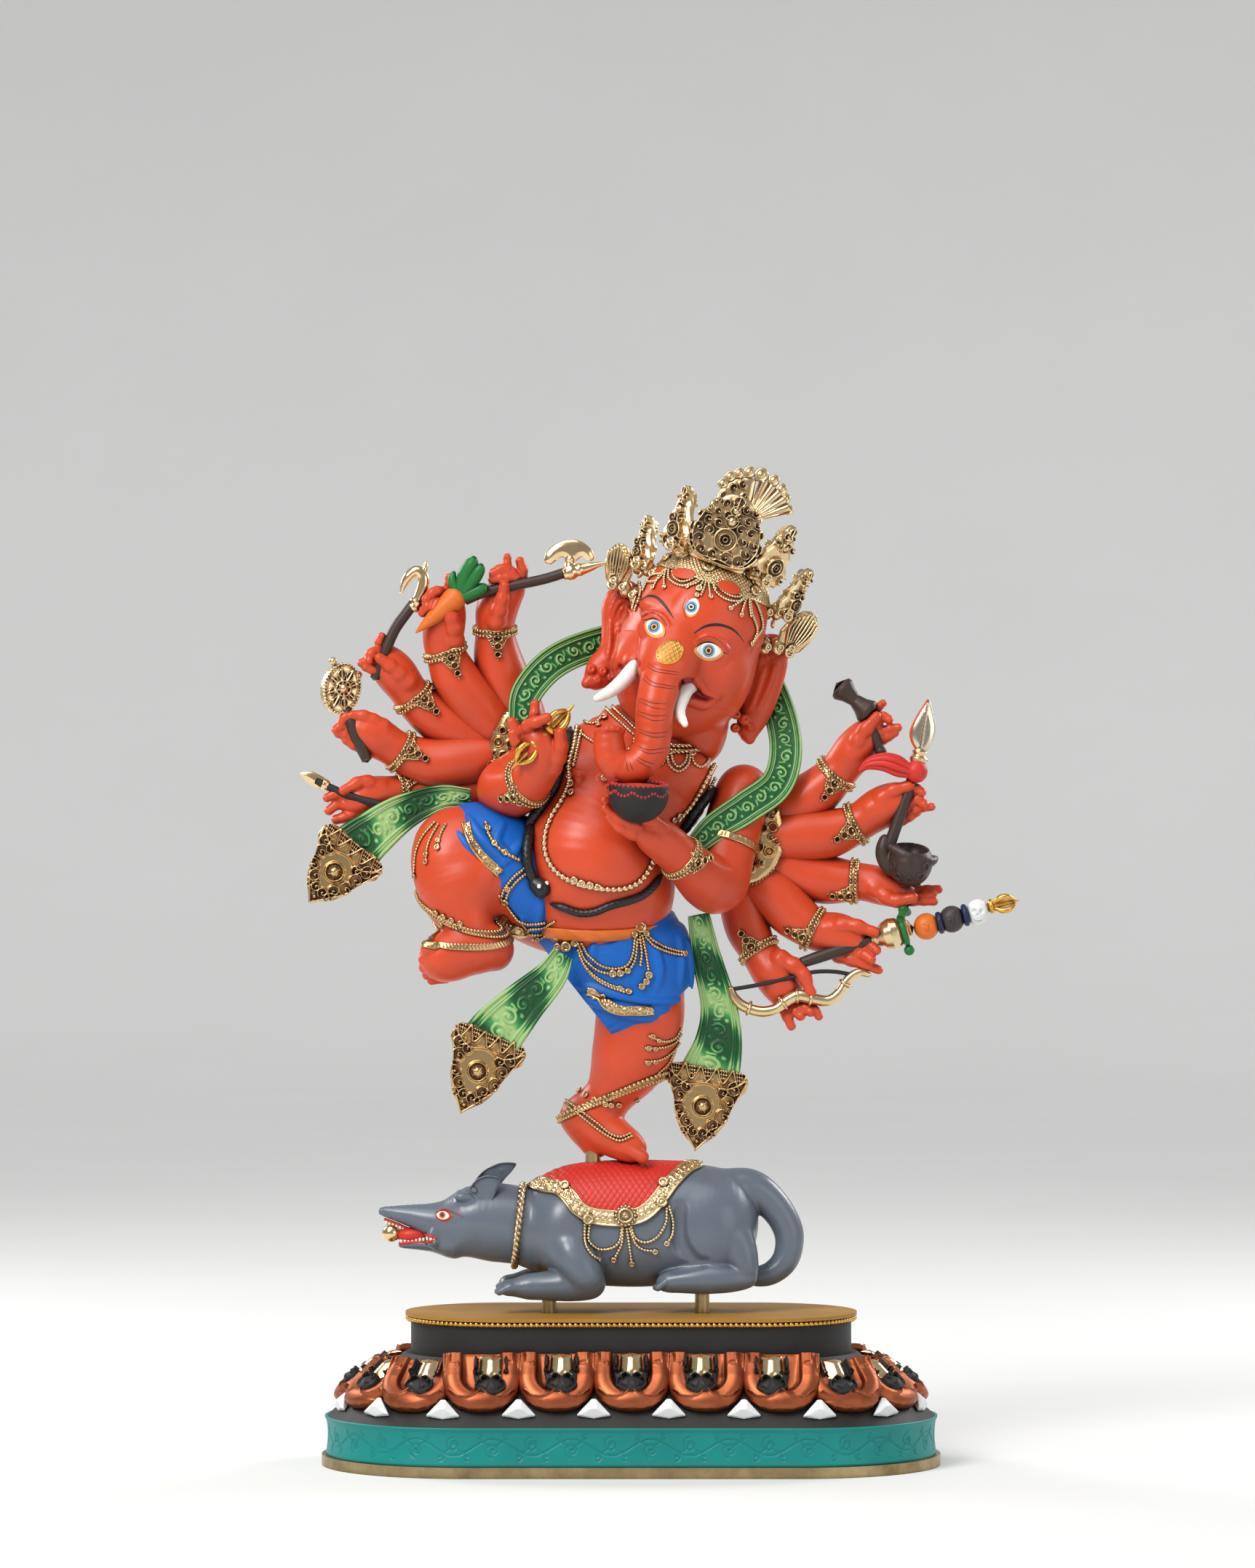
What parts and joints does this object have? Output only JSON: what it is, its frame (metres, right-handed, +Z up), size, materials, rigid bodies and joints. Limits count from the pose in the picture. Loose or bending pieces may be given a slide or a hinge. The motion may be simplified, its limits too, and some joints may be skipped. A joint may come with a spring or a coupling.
{
  "type": "devotional statue",
  "caption": "Cast and painted metal statue of a dancing many-armed elephant-headed deity on a rat, which stands on an oblong lotus base.",
  "frame": {"origin": "centre of the foot plate's underside, where the statue stands", "axes": "+Z up along the statue's height, the figure faces -Y, +X is the viewer's right"},
  "size_m": [0.3945, 0.1637, 0.5456],
  "materials": {
    "red_paint": "satin",
    "blue_paint": "satin",
    "green_paint": "satin",
    "teal_enamel": "satin",
    "black_enamel": "gloss",
    "copper_petal": "gloss",
    "white_enamel": "satin",
    "ochre_paint": "satin",
    "slate_paint": "gloss",
    "saddle_paint": "satin",
    "brown_paint": "satin",
    "ivory_paint": "satin",
    "gilt": "satin",
    "bare_brass": "satin"
  },
  "bodies": {
    "lotus_base": {"foot_plate": "bare_brass", "base_band": "teal_enamel", "lotus_shell": "black_enamel", "petals_copper": "copper_petal", "petal_bosses": "gilt", "petals_white": "white_enamel", "throne_drum": "black_enamel", "top_plate": "ochre_paint", "bead_rim": "gilt"},
    "rat": {"rat_body": "slate_paint", "rat_head": "slate_paint", "rat_ears": "slate_paint", "rat_legs": "slate_paint", "rat_tail": "slate_paint", "rat_collar": "gilt", "saddle_cloth": "saddle_paint", "saddle_border": "gilt", "mouth_jewel": "gilt", "rat_pegs": "bare_brass"},
    "figure": {"torso": "red_paint", "shoulder_fans": "red_paint", "skirt": "blue_paint", "standing_leg": "red_paint", "raised_leg": "red_paint", "foot_peg": "bare_brass", "head": "red_paint", "trunk": "red_paint", "tusks": "ivory_paint", "ears": "red_paint", "crown_band": "gilt", "crown_leaves": "gilt", "crown_fan": "gilt", "necklaces": "gilt", "snake_thread": "black_enamel", "waist_belt": "gilt", "anklets": "gilt", "bracelets": "gilt", "armlets": "gilt", "shoulder_sash": "green_paint", "sash_left_end": "green_paint", "sash_middle": "green_paint", "sash_right": "green_paint", "sash_tassels": "gilt", "back_arms_right": "red_paint", "back_arms_left": "red_paint", "front_arm_right": "red_paint", "front_arm_left": "red_paint", "axe": "gilt", "radish": "green_paint", "elephant_goad": "gilt", "wheel_mace": "gilt", "arrow": "gilt", "vajra": "gilt", "skull_cup": "brown_paint", "pestle": "brown_paint", "spear": "gilt", "leather_cup": "brown_paint", "khatvanga": "gilt", "bow": "gilt"}
  },
  "joints": [
    {"name": "rat_lift", "type": "slide", "parent": "lotus_base", "child": "rat", "axis": [0, 0, 1], "range_m": [0, 0.03]},
    {"name": "figure_lift", "type": "slide", "parent": "rat", "child": "figure", "axis": [0, 0, 1], "range_m": [0, 0.03]}
  ]
}
